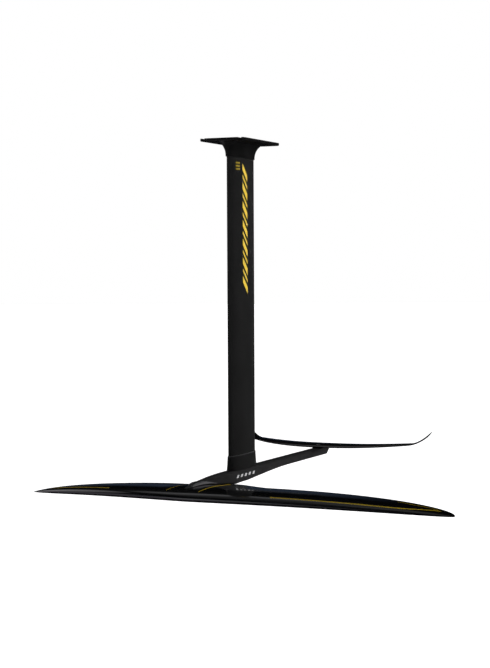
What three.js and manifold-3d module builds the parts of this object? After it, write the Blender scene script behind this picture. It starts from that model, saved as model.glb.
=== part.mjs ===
// Hydrofoil for a foil board: a mast hangs from a board plate and carries a fuselage
// with a large front wing under its nose and a small stabiliser on its tail.
//
// Millimetres. Origin: centre of the plate's top face, where it meets the board.
// +Z up towards the board, -Y forward (direction of travel), +X to port.

import * as THREE from 'three';
import { mergeVertices } from 'three/addons/utils/BufferGeometryUtils.js';
import Module from 'manifold-3d';

const wasm = await Module();
wasm.setup();

// ---------------------------------------------------------------- driving dimensions

const GAP = 0.3; // clearance between touching pieces

// board plate and its neck
const PLATE_FRONT = -106; // Y of the plate's front edge
const PLATE_REAR = 104;
const PLATE_HALF_WIDTH = 55.5;
const PLATE_THICKNESS = 6.3;
const PLATE_CORNER = 13;
const PLATE_EDGE_BEVEL = 2; // along the lower edge
const PLATE_RIM_BEVEL = 1; // along the upper edge
const SLOT_RUN_OUT = 10; // how far the front slots are cut past the plate's front edge
const SLOT_HALF_SPACING_X = 45; // board tracks are 90 mm apart
const SLOT_HALF_SPACING_Y = 82.5; // and their bolts 165 mm apart
const SLOT_HALF_WIDTH = 4.5; // for M8 bolts
const SLOT_HALF_LENGTH = 16;
const NECK_BOTTOM = -39.3; // Z of the neck's lower rim
const NECK_WALL = 2.6; // how far that rim stands proud of the mast's sides
const NECK_END_WALL = 4.4; // and of its edges
const NECK_FLARE_X = 19; // extra half width where the neck meets the plate
const NECK_FLARE_Y = 31; // and extra half length

// mast: an extruded section with three cells
const MAST_CHORD = 144.5;
const MAST_THICKNESS = 16.8;
const MAST_WALL = 2.2;
const MAST_TOP = -8.3;
const MAST_CELLS = [[-63, -54], [-50, 30], [34, 57]]; // Y of each cell's front and rear
const LEAST_CELL_HALF = 0.4; // half width of a cell where the mast is too thin for its walls
const INSERT_LENGTH = 62;

// collar over the foot of the mast
const COLLAR_TOP = -717;
const COLLAR_TOP_PROUD = 2.5;
const COLLAR_FOOT_PROUD = 5.6;
const COLLAR_BEVEL = 1.8;

// fuselage
const FUSELAGE_TOP = -750.9;
const FUSELAGE_HALF_WIDTH = 14;
const NOSE_TIP = -298;
const NOSE_LENGTH = 235; // the stretch over which the nose narrows
const NOSE_START = 4; // the blunt end's distance behind the point of the nose
const NOSE_DROP = 11.7; // how far the crown falls towards the nose
const NOSE_TILT = 0.4;
const CROWN_BEVEL = 2.6; // along each upper edge
const BELLY_ROUND = 4; // along each lower edge
const BELLY = -779.6; // Z of the underside just behind the wing
const BELLY_BLEND = 40; // the stretch over which the underside leaves the wing
const BOOM_DEPTH = 18;
const BOOM_TAPER_START = 0; // Y where the underside starts to rise to the slim boom
const BOOM_TAPER_LENGTH = 250;
const TAIL_END = 512;
const TAIL_BEVEL = 22; // length of the slant that cuts the tail's lower corner
const TAIL_BEVEL_FOOT = 19.1; // depth below the crown where it starts
const TAIL_LIP = 2.1; // and where it ends
const TAIL_SEAT = 0.6; // depth of the flat that the stabiliser rests on

// front wing
const WING = {
  halfSpan: 526.4, chord: 270, leadingEdge: -329.8, sweep: 270.5, sweepPower: 1.65,
  height: -775.2, droop: 51, droopPower: 1.942, tipRise: 0, tipStart: 1,
  chordPower: 2.41, taperPower: 0.622, thickness: 0.111, camber: -0.0132,
  incidence: 2.37, twist: 0.62, edge: 0.6, saddle: 5, rootStations: [12, 31, 72],
};
const SADDLE_FLAT = 12; // half width of the low saddle on the wing, on which the fuselage sits
const SADDLE_FADE = 80; // width over which its sides run out into the wing
const SADDLE_START = 0.05; // parts of the chord where it begins to rise
const SADDLE_FULL = 0.45; // and where it has its full height

// rear stabiliser
const STABILIZER = {
  halfSpan: 260.9, chord: 95.5, leadingEdge: 449.9, sweep: 149.6, sweepPower: 2.205,
  height: -746.7, droop: -3.96, droopPower: 2.27, tipRise: 29.8, tipStart: 0.815,
  chordPower: 1.79, taperPower: 0.515, thickness: 0.094, camber: 0,
  incidence: -0.27, twist: 0, edge: 1.1, saddle: 0, rootStations: [],
};
const TIP_REACH = 0.972; // place of the outermost section, as a part of the quarter turn to the tip
const PAD_FRONT = 5; // the stabiliser's pad starts this far behind its leading edge
const PAD_REAR = 3; // and ends this far ahead of the fuselage's end
const PAD_HEIGHT = 4;
const PAD_MARGIN = 1.5; // between the pad's sides and the fuselage's

// M6 countersunk screws and the threaded inserts that take them
const SCREW_RADIUS = 3;
const SCREW_HEAD_RADIUS = 6.2;
const SCREW_HEAD_HEIGHT = 3.4;
const SCREW_HEAD_EDGE = 0.5; // height of the plain rim above the head's cone
const SCREW_TIP = 0.8; // chamfer at the shank's end
const SCREW_RECESS = 0.4; // depth of the head below the surface it is let into
const WING_SCREW_RECESS = 0.8; // deeper where the surface round the head is curved
const SOCKET_RADIUS = 2.3; // over the corners of the hexagon
const SOCKET_DEPTH = 2.4;
const HEAD_CLEARANCE = 12; // how far a screw's hole is cut past its head
const INSERT_RADIUS = 4.6;
const INSERT_DEPTH = 9;
const INSERT_RECESS = 0.8; // depth of an insert below the surface round it
const INSERT_COVER = 2.2; // least metal above an insert
const INSERT_ROOM = 0.5; // clearance at its blind end
const PLATE_SCREWS_Y = [-43, -20, 21];
const FOOT_SCREWS_Y = [-40, -10, 20];
const WING_SCREWS_Y = [-215, -168, -121];
const TAIL_SCREWS_Y = [468, 498];
const MAST_SCREW_GRIP = 42; // how far the mast screws reach into the inserts

// ---------------------------------------------------------------- solids

function toSolid(geometry) {
  const bare = geometry.index ? geometry.toNonIndexed() : geometry.clone();
  bare.deleteAttribute('normal');
  bare.deleteAttribute('uv');
  const merged = mergeVertices(bare, 1e-4);
  const vertProperties = new Float32Array(merged.attributes.position.array);
  const triVerts = new Uint32Array(merged.index.array);
  const solid = new wasm.Manifold(new wasm.Mesh({ numProp: 3, vertProperties, triVerts }));
  if (solid.volume() > 0) return solid;
  triVerts.reverse();
  return new wasm.Manifold(new wasm.Mesh({ numProp: 3, vertProperties, triVerts }));
}

function toGeometry(solid) {
  const mesh = solid.getMesh();
  const geometry = new THREE.BufferGeometry();
  geometry.setAttribute('position', new THREE.BufferAttribute(mesh.vertProperties, 3));
  geometry.setIndex(new THREE.BufferAttribute(mesh.triVerts, 1));
  geometry.computeVertexNormals();
  return geometry;
}

const join = (...solids) => solids.reduce((a, b) => a.add(b));
const cut = (solid, ...tools) => tools.reduce((a, b) => a.subtract(b), solid);

// Closed skin over rings of equal point counts, capped by a fan at each end.
function loft(rings) {
  const count = rings[0].length;
  const points = rings.flat();
  const triangles = [];
  for (let r = 0; r + 1 < rings.length; r++) {
    for (let i = 0; i < count; i++) {
      const j = (i + 1) % count;
      const [a, b] = [r * count + i, r * count + j];
      triangles.push(a, b, b + count, a, b + count, a + count);
    }
  }
  const ends = [[rings[0], 0, true], [rings.at(-1), points.length - count, false]];
  for (const [ring, first, flip] of ends) {
    const centre = ring.reduce((sum, p) => sum.add(p), new THREE.Vector3()).divideScalar(count);
    points.push(centre);
    for (let i = 0; i < count; i++) {
      const [a, b] = [first + i, first + (i + 1) % count];
      triangles.push(points.length - 1, flip ? b : a, flip ? a : b);
    }
  }
  const geometry = new THREE.BufferGeometry().setFromPoints(points);
  geometry.setIndex(triangles);
  return toSolid(geometry);
}

// A shape drawn in X and Y, extruded from Z = low to Z = high.
function slab(shape, low, high) {
  const settings = { depth: high - low, bevelEnabled: false, curveSegments: 5 };
  return toSolid(new THREE.ExtrudeGeometry(shape, settings).translate(0, 0, low));
}

function box(width, length, height, y, z) {
  return toSolid(new THREE.BoxGeometry(width, length, height).translate(0, y, z));
}

// A turned solid on the centreline at y, from [radius, z] pairs that start and end on its axis.
function turned(profile, y, segments = 16) {
  const points = profile.map(([radius, z]) => new THREE.Vector2(radius, z));
  const geometry = new THREE.LatheGeometry(points, segments).rotateX(Math.PI / 2);
  return toSolid(geometry.translate(0, y, 0));
}

const rod = (radius, low, high, y) => (
  turned([[0, low], [radius, low], [radius, high], [0, high]], y)
);

// ---------------------------------------------------------------- foil sections

// Half thickness, as a part of the chord, of a thin symmetrical section at s from 0 to 1.
function halfThickness(s, ratio) {
  const root = 0.2969 * Math.sqrt(s);
  return 5 * ratio * (root - s * (0.126 + s * (0.3516 - s * (0.2843 - 0.1036 * s))));
}

// Place and size of a wing's section at e, the distance from the middle over the half span.
function station(wing, e) {
  const tip = Math.max(0, (e - wing.tipStart) / (1 - wing.tipStart || 1));
  const foot = SADDLE_FLAT + SADDLE_FADE;
  const aside = THREE.MathUtils.smoothstep(e * wing.halfSpan, SADDLE_FLAT, foot);
  return {
    saddle: wing.saddle * (1 - aside),
    chord: wing.chord * (1 - e ** wing.chordPower) ** wing.taperPower,
    y: wing.leadingEdge + wing.sweep * e ** wing.sweepPower,
    z: wing.height - wing.droop * e ** wing.droopPower + wing.tipRise * tip * tip,
    slope: Math.tan(THREE.MathUtils.degToRad(wing.incidence - wing.twist * e * e)),
  };
}

// Height of a wing's upper (side 1) or lower (side -1) surface at s along the chord of a section.
// The upper surface carries the saddle.
function surfaceHeight(wing, at, s, side) {
  const half = at.chord * halfThickness(s, wing.thickness) + wing.edge * s / 2;
  const middle = at.chord * (4 * wing.camber * s * (1 - s) - s * at.slope);
  const rise = THREE.MathUtils.smoothstep(s, SADDLE_START, SADDLE_FULL);
  return at.z + middle + side * half + (side > 0 ? at.saddle * rise : 0);
}

// Height of a wing's surface on its centreline, at a given Y.
function centreHeight(wing, y, side) {
  const at = station(wing, 0);
  return surfaceHeight(wing, at, THREE.MathUtils.clamp((y - at.y) / at.chord, 0, 1), side);
}

function wingSolid(wing, stations, points) {
  const rings = [];
  const half = wing.rootStations.map((x) => x / wing.halfSpan);
  for (let k = 1; k <= stations; k++) half.push(Math.sin(k / stations * TIP_REACH * Math.PI / 2));
  half.sort((a, b) => a - b);
  for (const place of [...half.map((e) => -e).reverse(), 0, ...half]) {
    const e = Math.abs(place);
    const at = station(wing, e);
    const ring = [];
    for (let i = -points; i < points; i++) {
      const s = 0.5 - 0.5 * Math.cos(Math.PI * Math.abs(i) / points);
      const z = surfaceHeight(wing, at, s, i < 0 ? 1 : -1);
      ring.push(new THREE.Vector3(place * wing.halfSpan, at.y + s * at.chord, z));
    }
    const last = surfaceHeight(wing, at, 1, -1);
    ring.push(new THREE.Vector3(place * wing.halfSpan, at.y + at.chord, last));
    rings.push(ring);
  }
  return loft(rings);
}

// Half thickness of the mast at Y. It is widest ahead of the middle, with round ends.
function mastHalf(y) {
  const s = THREE.MathUtils.clamp(y / MAST_CHORD + 0.5, 0, 1);
  const fullness = (at) => at ** 0.5 * (1 - at) ** 0.7;
  return (MAST_THICKNESS / 2) * fullness(s) / fullness(0.5 / 1.2);
}

// Outline of the mast's section at height z, enlarged by `proud` in X and `longer` in Y.
function mastRing(z, proud, longer = proud, points = 17) {
  const ring = [];
  for (let i = -points; i < points; i++) {
    const turn = Math.PI * i / points;
    const y = -MAST_CHORD / 2 * Math.cos(turn);
    const x = Math.sign(i) * mastHalf(y) + Math.sin(turn) * proud;
    ring.push(new THREE.Vector3(x, y - Math.cos(turn) * longer, z));
  }
  return ring;
}

const mastPrism = (low, high, proud) => loft([mastRing(low, proud), mastRing(high, proud)]);

// A cell of the mast between two Ys, narrower than the section by the wall and `inset`.
function cellSolid([front, rear], low, high, inset = 0) {
  const steps = 10;
  const shape = new THREE.Shape();
  for (let i = 0; i <= 2 * steps + 1; i++) {
    const side = i <= steps ? 1 : -1;
    const along = (i <= steps ? i : 2 * steps + 1 - i) / steps;
    const y = front + inset + along * (rear - front - 2 * inset);
    const x = side * Math.max(LEAST_CELL_HALF, mastHalf(y) - MAST_WALL - inset);
    if (i === 0) shape.moveTo(x, y);
    else shape.lineTo(x, y);
  }
  return slab(shape, low, high);
}

// ---------------------------------------------------------------- fasteners

const along = (pairs, headZ, dir) => pairs.map(([radius, z]) => [radius, headZ + dir * z]);

// Countersunk screw along Z. `dir` is 1 where its head faces up and -1 where it faces down.
function screw(y, headZ, length, dir) {
  const profile = [
    [0, -length], [SCREW_RADIUS - SCREW_TIP, -length], [SCREW_RADIUS, SCREW_TIP - length],
    [SCREW_RADIUS, -SCREW_HEAD_HEIGHT], [SCREW_HEAD_RADIUS, -SCREW_HEAD_EDGE],
    [SCREW_HEAD_RADIUS, 0], [0, 0],
  ];
  const socket = [[0, -SOCKET_DEPTH], [SOCKET_RADIUS, -SOCKET_DEPTH], [SOCKET_RADIUS, 1], [0, 1]];
  return cut(turned(along(profile, headZ, dir), y), turned(along(socket, headZ, dir), y, 6));
}

// The clearance hole of such a screw, open above its head.
function screwHole(y, headZ, length, dir) {
  const shank = SCREW_RADIUS + GAP;
  const head = SCREW_HEAD_RADIUS + GAP;
  const profile = [
    [0, -length - 1], [shank, -length - 1], [shank, -SCREW_HEAD_HEIGHT - GAP],
    [head, -SCREW_HEAD_EDGE - GAP], [head, HEAD_CLEARANCE], [0, HEAD_CLEARANCE],
  ];
  return turned(along(profile, headZ, dir), y);
}

// Sleeve with a bore for the screw, open at both ends.
function insertSolid(y, low, high) {
  return cut(rod(INSERT_RADIUS, low, high, y), rod(SCREW_RADIUS + GAP, low - 1, high + 1, y));
}

// ---------------------------------------------------------------- sub-parts

function plateOutline(inset) {
  const [x0, x1] = [inset - PLATE_HALF_WIDTH, PLATE_HALF_WIDTH - inset];
  const [y0, y1] = [PLATE_FRONT + inset, PLATE_REAR - inset];
  const r = PLATE_CORNER - inset;
  const shape = new THREE.Shape();
  shape.absarc(x1 - r, y1 - r, r, 0, Math.PI / 2);
  shape.absarc(x0 + r, y1 - r, r, Math.PI / 2, Math.PI);
  shape.absarc(x0 + r, y0 + r, r, Math.PI, Math.PI * 1.5);
  shape.absarc(x1 - r, y0 + r, r, Math.PI * 1.5, Math.PI * 2);
  return shape.getPoints(6);
}

// A slot for a board bolt. The front pair run out through the plate's front edge.
function slotSolid(x, end) {
  const shape = new THREE.Shape();
  const y = end * SLOT_HALF_SPACING_Y;
  const inner = y - end * (SLOT_HALF_LENGTH - SLOT_HALF_WIDTH);
  const outer = end < 0 ? PLATE_FRONT - SLOT_RUN_OUT : y + SLOT_HALF_LENGTH - SLOT_HALF_WIDTH;
  const [low, high] = [Math.min(inner, outer), Math.max(inner, outer)];
  shape.absarc(x, high, SLOT_HALF_WIDTH, 0, Math.PI);
  shape.absarc(x, low, SLOT_HALF_WIDTH, Math.PI, Math.PI * 2);
  return slab(shape, -3 * PLATE_THICKNESS, PLATE_THICKNESS);
}

function mastPlate() {
  const ring = (inset, z) => plateOutline(inset).map((p) => new THREE.Vector3(p.x, p.y, z));
  const flat = loft([
    ring(PLATE_EDGE_BEVEL, -PLATE_THICKNESS), ring(0, -PLATE_THICKNESS + PLATE_EDGE_BEVEL),
    ring(0, -PLATE_RIM_BEVEL), ring(PLATE_RIM_BEVEL, 0),
  ]);
  const neckRings = [];
  const steps = 7;
  for (let i = 0; i <= steps; i++) {
    const rise = i / steps;
    const flare = rise ** 2.4;
    const z = THREE.MathUtils.lerp(NECK_BOTTOM, -PLATE_THICKNESS / 2, rise);
    const proud = NECK_WALL + NECK_FLARE_X * flare;
    neckRings.push(mastRing(z, proud, NECK_END_WALL + NECK_FLARE_Y * flare));
  }
  const socket = mastPrism(NECK_BOTTOM - 1, MAST_TOP + GAP, GAP);
  const slots = [];
  for (const side of [-1, 1]) {
    for (const end of [-1, 1]) slots.push(slotSolid(side * SLOT_HALF_SPACING_X, end));
  }
  const holes = PLATE_SCREWS_Y.map((y) => screwHole(y, -SCREW_RECESS, 20, 1));
  return cut(join(flat, loft(neckRings)), socket, ...slots, ...holes);
}

function mastTube() {
  const [low, high] = [FUSELAGE_TOP + GAP, MAST_TOP];
  const cells = MAST_CELLS.map((cell) => cellSolid(cell, low - 1, high + 1));
  return cut(mastPrism(low, high, 0), ...cells);
}

// Solid block bonded into the mast's middle cell, tapped for the screws.
function mastInsert(low, high, screwsY) {
  const bores = screwsY.map((y) => rod(SCREW_RADIUS + GAP, low - 1, high + 1, y));
  return cut(cellSolid(MAST_CELLS[1], low, high, GAP), ...bores);
}

function mastCollar() {
  const rings = [mastRing(COLLAR_TOP, COLLAR_TOP_PROUD - COLLAR_BEVEL / 2)];
  const steps = 5;
  for (let i = 0; i <= steps; i++) {
    const fall = i / steps;
    const z = THREE.MathUtils.lerp(COLLAR_TOP - COLLAR_BEVEL, FUSELAGE_TOP + GAP, fall);
    const proud = THREE.MathUtils.lerp(COLLAR_TOP_PROUD, COLLAR_FOOT_PROUD, fall ** 1.4);
    rings.unshift(mastRing(z, proud));
  }
  return cut(loft(rings), mastPrism(FUSELAGE_TOP - 1, COLLAR_TOP + 1, GAP));
}

// Height of the fuselage's crown along Y: a long rise from the nose, then level.
function crownHeight(y) {
  const rise = THREE.MathUtils.clamp((y - NOSE_TIP) / NOSE_LENGTH, 0, 1);
  return FUSELAGE_TOP - NOSE_DROP * (1 - rise) ** 2.6 - NOSE_TILT * (1 - rise);
}

// Height of its underside: on the wing, deepest under the mast, then up to the slim boom.
function bellyHeight(y) {
  const trailing = WING.leadingEdge + WING.chord;
  const seat = centreHeight(WING, y, 1) + GAP;
  if (y < trailing) return seat;
  const t = THREE.MathUtils.clamp((y - BOOM_TAPER_START) / BOOM_TAPER_LENGTH, 0, 1);
  const ease = THREE.MathUtils.lerp(t * (2 - t), t * t * (3 - 2 * t), 0.45);
  const under = THREE.MathUtils.lerp(BELLY, FUSELAGE_TOP - BOOM_DEPTH, ease);
  const blend = THREE.MathUtils.smoothstep(y, trailing, trailing + BELLY_BLEND);
  return THREE.MathUtils.lerp(seat, under, blend);
}

function fuselageRing(y) {
  const nose = THREE.MathUtils.clamp((y - NOSE_TIP) / NOSE_LENGTH, 0, 1);
  const half = FUSELAGE_HALF_WIDTH * (1 - (1 - nose) ** 1.9) ** 0.62;
  const [top, bottom] = [crownHeight(y), bellyHeight(y)];
  const bevel = Math.min(CROWN_BEVEL, (top - bottom) / 4, half * 0.4);
  const round = Math.min(BELLY_ROUND, (top - bottom) / 5, half * 0.4);
  const side = [
    [half - bevel, top], [half, top - bevel], [half, bottom + round],
    [half - round * 0.3, bottom + round * 0.3], [half - round, bottom],
  ];
  const mirror = side.map(([x, z]) => [-x, z]).reverse();
  return [...side, ...mirror].map(([x, z]) => new THREE.Vector3(x, y, z));
}

function wingInsertSpan(y) {
  const low = bellyHeight(y) + INSERT_RECESS;
  return [low, Math.min(low + INSERT_DEPTH, crownHeight(y) - INSERT_COVER)];
}

const seatHeight = FUSELAGE_TOP - TAIL_SEAT;
const tailInsertTop = seatHeight - INSERT_RECESS;
const tailInsertLow = tailInsertTop - INSERT_DEPTH;

// The wedge that is cut from the tail's lower corner.
function tailWedge() {
  const [front, rear] = [TAIL_END - TAIL_BEVEL, TAIL_END + TAIL_BEVEL];
  const low = FUSELAGE_TOP - 2 * TAIL_BEVEL;
  const slant = new THREE.Shape();
  slant.moveTo(front, low);
  slant.lineTo(front, FUSELAGE_TOP - TAIL_BEVEL_FOOT);
  slant.lineTo(TAIL_END, FUSELAGE_TOP - TAIL_LIP);
  slant.lineTo(rear, FUSELAGE_TOP - TAIL_LIP);
  slant.lineTo(rear, low);
  const width = 4 * FUSELAGE_HALF_WIDTH;
  const wedge = new THREE.ExtrudeGeometry(slant, { depth: width, bevelEnabled: false });
  const across = new THREE.Vector3(1, 0, 0);
  const back = new THREE.Vector3(0, 1, 0);
  const up = new THREE.Vector3(0, 0, 1);
  wedge.applyMatrix4(new THREE.Matrix4().makeBasis(back, up, across));
  return toSolid(wedge.translate(-width / 2, 0, 0));
}

// The flat at the tail, open above and behind, that takes the stabiliser.
function tailSeat() {
  const front = STABILIZER.leadingEdge - 4;
  const length = 2 * (TAIL_END - front);
  const height = 20;
  return box(4 * FUSELAGE_HALF_WIDTH, length, height, front + length / 2, seatHeight + height / 2);
}

function fuselage() {
  const rings = [];
  const steps = 38;
  for (let i = 0; i <= steps; i++) {
    rings.push(fuselageRing(THREE.MathUtils.lerp(NOSE_TIP + NOSE_START, TAIL_END, i / steps)));
  }
  const bore = INSERT_RADIUS + GAP;
  const wingBores = WING_SCREWS_Y.map((y) => {
    const [low, high] = wingInsertSpan(y);
    return rod(bore, low - HEAD_CLEARANCE, high + INSERT_ROOM, y);
  });
  const tailBores = TAIL_SCREWS_Y.map((y) => (
    rod(bore, tailInsertLow - INSERT_ROOM, seatHeight + HEAD_CLEARANCE, y)
  ));
  const mastHoles = FOOT_SCREWS_Y.map((y) => screwHole(y, bellyHeight(y) + SCREW_RECESS, 60, -1));
  return cut(loft(rings), tailWedge(), tailSeat(), ...wingBores, ...tailBores, ...mastHoles);
}

const wingHeadHeight = (y) => centreHeight(WING, y, -1) + WING_SCREW_RECESS;
const tailHeadHeight = (y) => centreHeight(STABILIZER, y, 1) - SCREW_RECESS;

function frontWing() {
  const holes = WING_SCREWS_Y.map((y) => screwHole(y, wingHeadHeight(y), 60, -1));
  return cut(wingSolid(WING, 16, 18), ...holes);
}

// The stabiliser's underside has a flat pad that rests on the fuselage's seat.
function rearStabilizer() {
  const front = STABILIZER.leadingEdge + PAD_FRONT;
  const length = TAIL_END - PAD_REAR - front;
  const low = seatHeight + GAP;
  const width = 2 * (FUSELAGE_HALF_WIDTH - PAD_MARGIN);
  const pad = box(width, length, PAD_HEIGHT, front + length / 2, low + PAD_HEIGHT / 2);
  const below = box(4 * FUSELAGE_HALF_WIDTH, 2 * length, 10, front + length / 2, low - 5);
  const holes = TAIL_SCREWS_Y.map((y) => screwHole(y, tailHeadHeight(y), 60, 1));
  return cut(join(wingSolid(STABILIZER, 14, 12), pad), below, ...holes);
}

// ---------------------------------------------------------------- assembly

const FINISH = {
  plate: { color: 0x141415, roughness: 0.45, metalness: 0.5 },
  mast: { color: 0x242425, roughness: 0.6, metalness: 0.4 },
  collar: { color: 0x1a1a1b, roughness: 0.5, metalness: 0.4 },
  fuselage: { color: 0x29282a, roughness: 0.5, metalness: 0.4 },
  wing: { color: 0x0a0c12, roughness: 0.12, metalness: 0 },
  insert: { color: 0xa8aaad, roughness: 0.4, metalness: 1 },
  steel: { color: 0x8f9194, roughness: 0.35, metalness: 1 },
};

const hydrofoil = new THREE.Group();

function addPiece(name, solid, finish) {
  const mesh = new THREE.Mesh(toGeometry(solid), new THREE.MeshStandardMaterial(FINISH[finish]));
  mesh.name = name;
  hydrofoil.add(mesh);
}

addPiece('mast_plate', mastPlate(), 'plate');
addPiece('mast_tube', mastTube(), 'mast');
addPiece('mast_collar', mastCollar(), 'collar');
addPiece('fuselage', fuselage(), 'fuselage');
addPiece('front_wing', frontWing(), 'wing');
addPiece('rear_stabilizer', rearStabilizer(), 'wing');
addPiece(
  'mast_head_insert',
  mastInsert(MAST_TOP - INSERT_LENGTH, MAST_TOP, PLATE_SCREWS_Y),
  'insert',
);
addPiece(
  'mast_foot_insert',
  mastInsert(FUSELAGE_TOP + GAP, FUSELAGE_TOP + GAP + INSERT_LENGTH, FOOT_SCREWS_Y),
  'insert',
);

PLATE_SCREWS_Y.forEach((y, i) => {
  const length = MAST_SCREW_GRIP - MAST_TOP;
  addPiece(`plate_screw_${i + 1}`, screw(y, -SCREW_RECESS, length, 1), 'steel');
});
FOOT_SCREWS_Y.forEach((y, i) => {
  const head = bellyHeight(y) + SCREW_RECESS;
  const length = FUSELAGE_TOP - head + MAST_SCREW_GRIP;
  addPiece(`mast_screw_${i + 1}`, screw(y, head, length, -1), 'steel');
});
WING_SCREWS_Y.forEach((y, i) => {
  const [low, high] = wingInsertSpan(y);
  const head = wingHeadHeight(y);
  addPiece(`wing_insert_${i + 1}`, insertSolid(y, low, high), 'steel');
  addPiece(`wing_screw_${i + 1}`, screw(y, head, high - head, -1), 'steel');
});
TAIL_SCREWS_Y.forEach((y, i) => {
  const head = tailHeadHeight(y);
  addPiece(`stabilizer_insert_${i + 1}`, insertSolid(y, tailInsertLow, tailInsertTop), 'steel');
  addPiece(`stabilizer_screw_${i + 1}`, screw(y, head, head - tailInsertLow, 1), 'steel');
});

export default hydrofoil;
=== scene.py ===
"""Looks of a hydrofoil: smooth pieces, finishes, studio and camera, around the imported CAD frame."""

import math

import bmesh
import bpy
from mathutils import Matrix, Vector


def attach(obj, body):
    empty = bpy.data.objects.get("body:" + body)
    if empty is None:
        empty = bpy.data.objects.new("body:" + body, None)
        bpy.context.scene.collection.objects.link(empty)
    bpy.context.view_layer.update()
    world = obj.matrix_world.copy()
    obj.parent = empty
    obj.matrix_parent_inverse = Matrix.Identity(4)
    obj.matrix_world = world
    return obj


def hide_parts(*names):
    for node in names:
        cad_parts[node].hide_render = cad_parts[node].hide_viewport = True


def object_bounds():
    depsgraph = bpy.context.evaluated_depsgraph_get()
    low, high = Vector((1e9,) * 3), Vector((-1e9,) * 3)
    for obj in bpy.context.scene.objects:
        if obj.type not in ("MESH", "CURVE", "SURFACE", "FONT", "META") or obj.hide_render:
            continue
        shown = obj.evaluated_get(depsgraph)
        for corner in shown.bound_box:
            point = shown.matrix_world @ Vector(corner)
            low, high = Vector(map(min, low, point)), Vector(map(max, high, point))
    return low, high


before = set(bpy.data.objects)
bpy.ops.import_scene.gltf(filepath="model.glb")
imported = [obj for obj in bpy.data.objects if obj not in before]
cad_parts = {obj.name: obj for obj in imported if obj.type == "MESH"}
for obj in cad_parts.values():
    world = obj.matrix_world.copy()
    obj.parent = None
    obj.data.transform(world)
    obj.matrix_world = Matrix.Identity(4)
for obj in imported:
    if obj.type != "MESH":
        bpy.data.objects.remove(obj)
cad_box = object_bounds()

MM = 0.001

# ---------------------------------------------------------------- driving dimensions, mm

GAP = 0.3
PLATE_FRONT, PLATE_REAR, PLATE_HALF_WIDTH = -106, 104, 55.5
PLATE_THICKNESS, PLATE_CORNER = 6.3, 13
PLATE_EDGE_BEVEL, PLATE_RIM_BEVEL = 2, 1
SLOT_X, SLOT_Y, SLOT_HALF_WIDTH, SLOT_HALF_LENGTH = 45, 82.5, 4.5, 16
NECK_BOTTOM, NECK_WALL, NECK_END_WALL = -39.3, 2.6, 4.4
NECK_FLARE_X, NECK_FLARE_Y, NECK_FLARE_POWER = 19, 31, 2.4
NECK_RIM_BEVEL, NECK_SUNK = 0.7, 3
SLOT_BEVEL, SLOT_RUN_OUT = 0.5, 10

MAST_CHORD, MAST_THICKNESS, MAST_WALL, MAST_TOP = 144.5, 16.8, 2.2, -8.3
MAST_CELLS = ((-63, -54), (-50, 30), (34, 57))
MAST_NOSE_POWER, MAST_TAIL_POWER, MAST_CELL_MINIMUM = 0.5, 0.7, 0.4

COLLAR_TOP, COLLAR_TOP_PROUD, COLLAR_FOOT_PROUD, COLLAR_BEVEL = -717, 2.5, 5.6, 1.8
COLLAR_FLARE_POWER = 1.4

FUSELAGE_TOP, FUSELAGE_HALF_WIDTH = -750.9, 14
FUSELAGE_BEVEL, FUSELAGE_ROUND = 2.6, 4
NOSE_TIP, NOSE_LENGTH, NOSE_START = -298, 235, 4
NOSE_DROP, NOSE_DROP_POWER, NOSE_TILT = 11.7, 2.6, 0.4
NOSE_WIDTH_POWER, NOSE_BLUNTNESS, NOSE_MINIMUM = 1.9, 0.62, 0.0005
# Band along the nose's lower edge that carries a painted highlight: where it rises and ends, its height, its
# foot and its fade.
FACET_START, FACET_RISE, FACET_END, FACET_FALL = -292, 45, -138, 75
FACET_HEIGHT, FACET_FOOT, FACET_FADE_POWER = 7.4, 2.6, 0.8
TAIL_END, TAIL_BEVEL, TAIL_BEVEL_FOOT, TAIL_LIP, TAIL_SEAT = 512, 22, 19.1, 2.1, 0.6
BELLY, BELLY_BLEND, BOOM_DEPTH, BOOM_TAPER, BOOM_EASE = -779.6, 40, 18, 250, 0.45

WING = dict(
    half_span=526.4, chord=270, leading_edge=-329.8, sweep=270.5, sweep_power=1.65,
    height=-775.2, droop=51, droop_power=1.942, tip_rise=0, tip_start=1,
    chord_power=2.41, taper_power=0.622, thickness=0.111, camber=-0.0132,
    incidence=2.37, twist=0.62, edge=0.6, saddle=5,
)
SADDLE_FLAT, SADDLE_FADE = 12, 80
SADDLE_START, SADDLE_RUN = 0.05, 0.4
STABILIZER = dict(
    half_span=260.9, chord=95.5, leading_edge=449.9, sweep=149.6, sweep_power=2.205,
    height=-746.7, droop=-3.96, droop_power=2.27, tip_rise=29.8, tip_start=0.815,
    chord_power=1.79, taper_power=0.515, thickness=0.094, camber=0,
    incidence=-0.27, twist=0, edge=1.1, saddle=0,
)
PAD_HEIGHT, PAD_INSET, PAD_FRONT, PAD_REAR, PAD_CORNER = 4, 1.5, 5, 3, 3
SEAT_MARGIN, SEAT_RUN = 4, 100

SCREW_RADIUS, HEAD_RADIUS, HEAD_HEIGHT, RECESS = 3, 6.2, 3.4, 0.4
HEAD_RIM, HOLE_MOUTH = 0.5, 12
INSERT_RADIUS, INSERT_DEPTH, INSERT_SUNK, MAST_SCREW_GRIP = 4.6, 9, 0.8, 42
INSERT_ROOF, BORE_END, WING_HEAD_SUNK = 2.2, 0.5, 0.4
PLATE_SCREWS_Y = (-43, -20, 21)
FOOT_SCREWS_Y = (-40, -10, 20)
WING_SCREWS_Y = (-215, -168, -121)
TAIL_SCREWS_Y = (468, 498)

# How far a cutter runs past a face, right through a piece, and to each side of the middle.
BEYOND, THROUGH, CUTTER_HALF = 1, 60, 30

# The films of the graphics stand this much off the surface and reach this much into it.
FILM_LIFT, FILM_SINK = 0.12, 0.08


def clamp(value, low=0.0, high=1.0):
    return max(low, min(high, value))


def lerp(a, b, t):
    return a + (b - a) * t


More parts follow.
